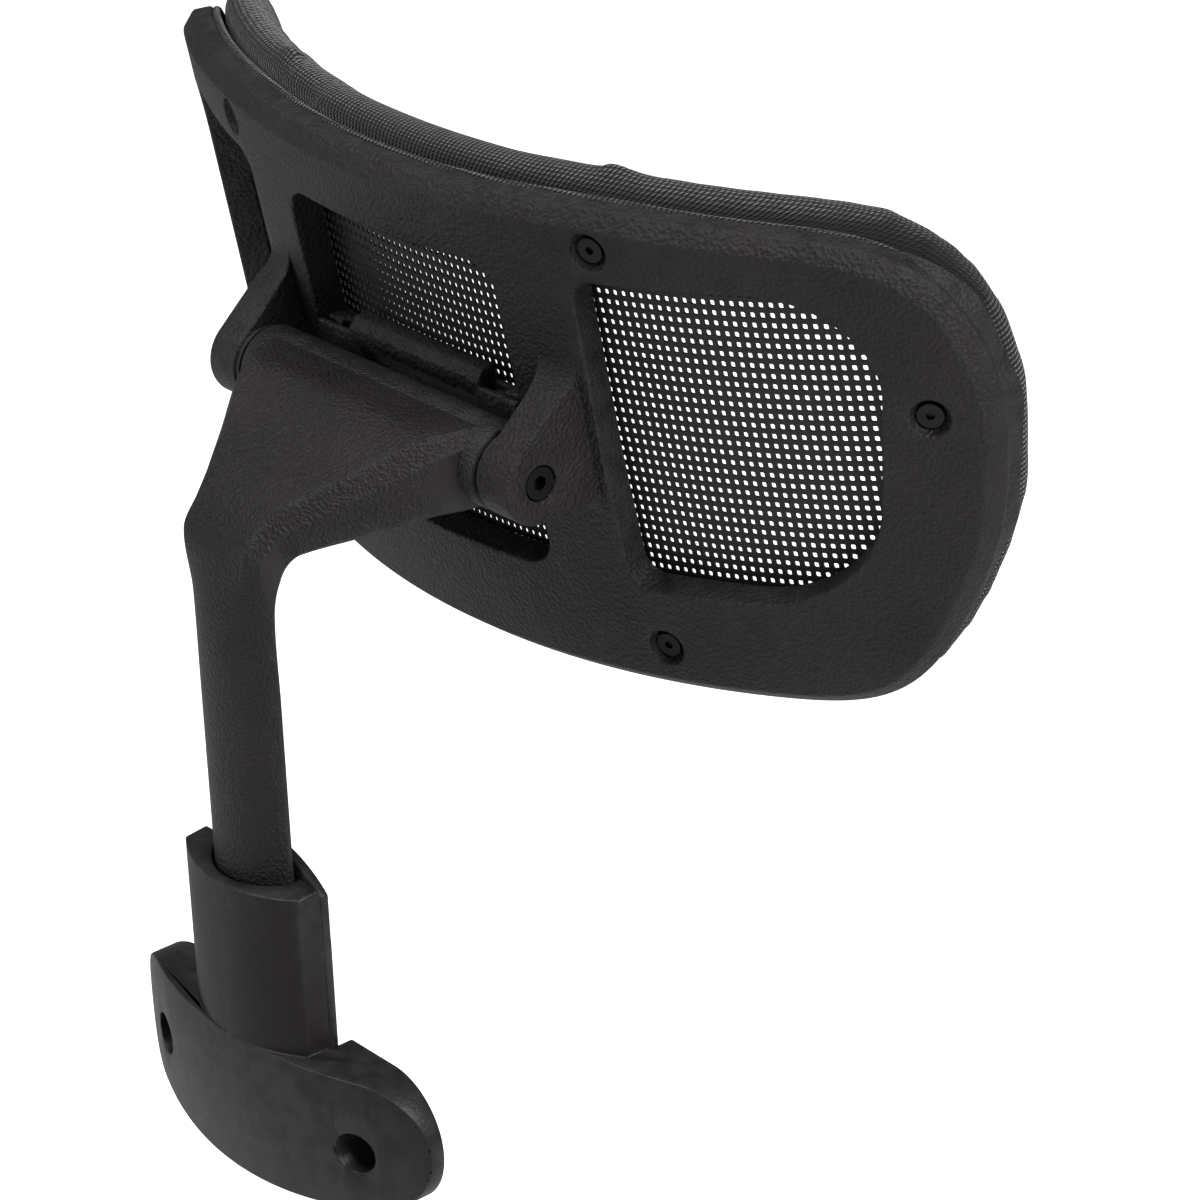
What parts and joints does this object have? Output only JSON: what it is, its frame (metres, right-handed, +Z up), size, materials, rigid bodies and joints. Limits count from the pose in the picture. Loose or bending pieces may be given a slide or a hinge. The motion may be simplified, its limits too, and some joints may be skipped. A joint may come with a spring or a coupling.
{
  "type": "chair headrest attachment",
  "caption": "Bolt-on chair headrest: a two-lobed bracket, a height-adjustable arm and a tilting curved shell with a mesh back and a padded fabric border.",
  "frame": {"origin": "midway between the two chair bolts, on the flat face of the bracket that rests against the chair back", "axes": "+Z up, -Y towards the sitter's head, +Y to the rear of the chair, X along the tilt axis"},
  "size_m": [0.264, 0.1307, 0.2301],
  "materials": {
    "casing_plastic": "satin moulded nylon",
    "arm_plastic": "satin glass-filled nylon with a fine grain on its top face",
    "shell_plastic": "grained moulded polypropylene",
    "black_steel": "black oxide",
    "bright_steel": "zinc plated",
    "insert_brass": "knurled",
    "acetal": "smooth, low friction",
    "washer_fibre": "friction fibre",
    "mesh": "woven monofilament mesh",
    "foam": "open cell polyurethane foam",
    "knit": "ribbed 3-D knit"
  },
  "bodies": {
    "bracket": {"bracket_casing": "casing_plastic", "bracket_front_plate": "casing_plastic", "plate_screws": "bright_steel", "bolt_sleeves": "bright_steel", "glide_liner": "acetal", "detent_spring": "bright_steel", "detent_button": "acetal"},
    "arm": {"arm": "arm_plastic", "post_foot": "acetal", "foot_screw": "bright_steel", "barrel_inserts": "insert_brass", "hinge_screws": "black_steel", "friction_washers": "washer_fibre", "spring_washers": "black_steel"},
    "headrest": {"hinge_bushes": "acetal", "rear_shell": "shell_plastic", "stop_bar": "shell_plastic", "stop_bar_screws": "black_steel", "frame_screws": "black_steel", "mesh_frame": "shell_plastic", "mesh_panel": "mesh", "mesh_spline": "acetal", "edge_piping": "knit", "foam_border": "foam", "fabric_cover": "knit"}
  },
  "joints": [
    {"name": "height_slide", "type": "slide", "parent": "bracket", "child": "arm", "axis": [0, 0, 1], "range_m": [-0.03, 0.008]},
    {"name": "head_tilt", "type": "hinge", "parent": "arm", "child": "headrest", "pos_m": [0, -0.035, 0.15], "axis": [1, 0, 0], "range_deg": [-15, 20]}
  ]
}
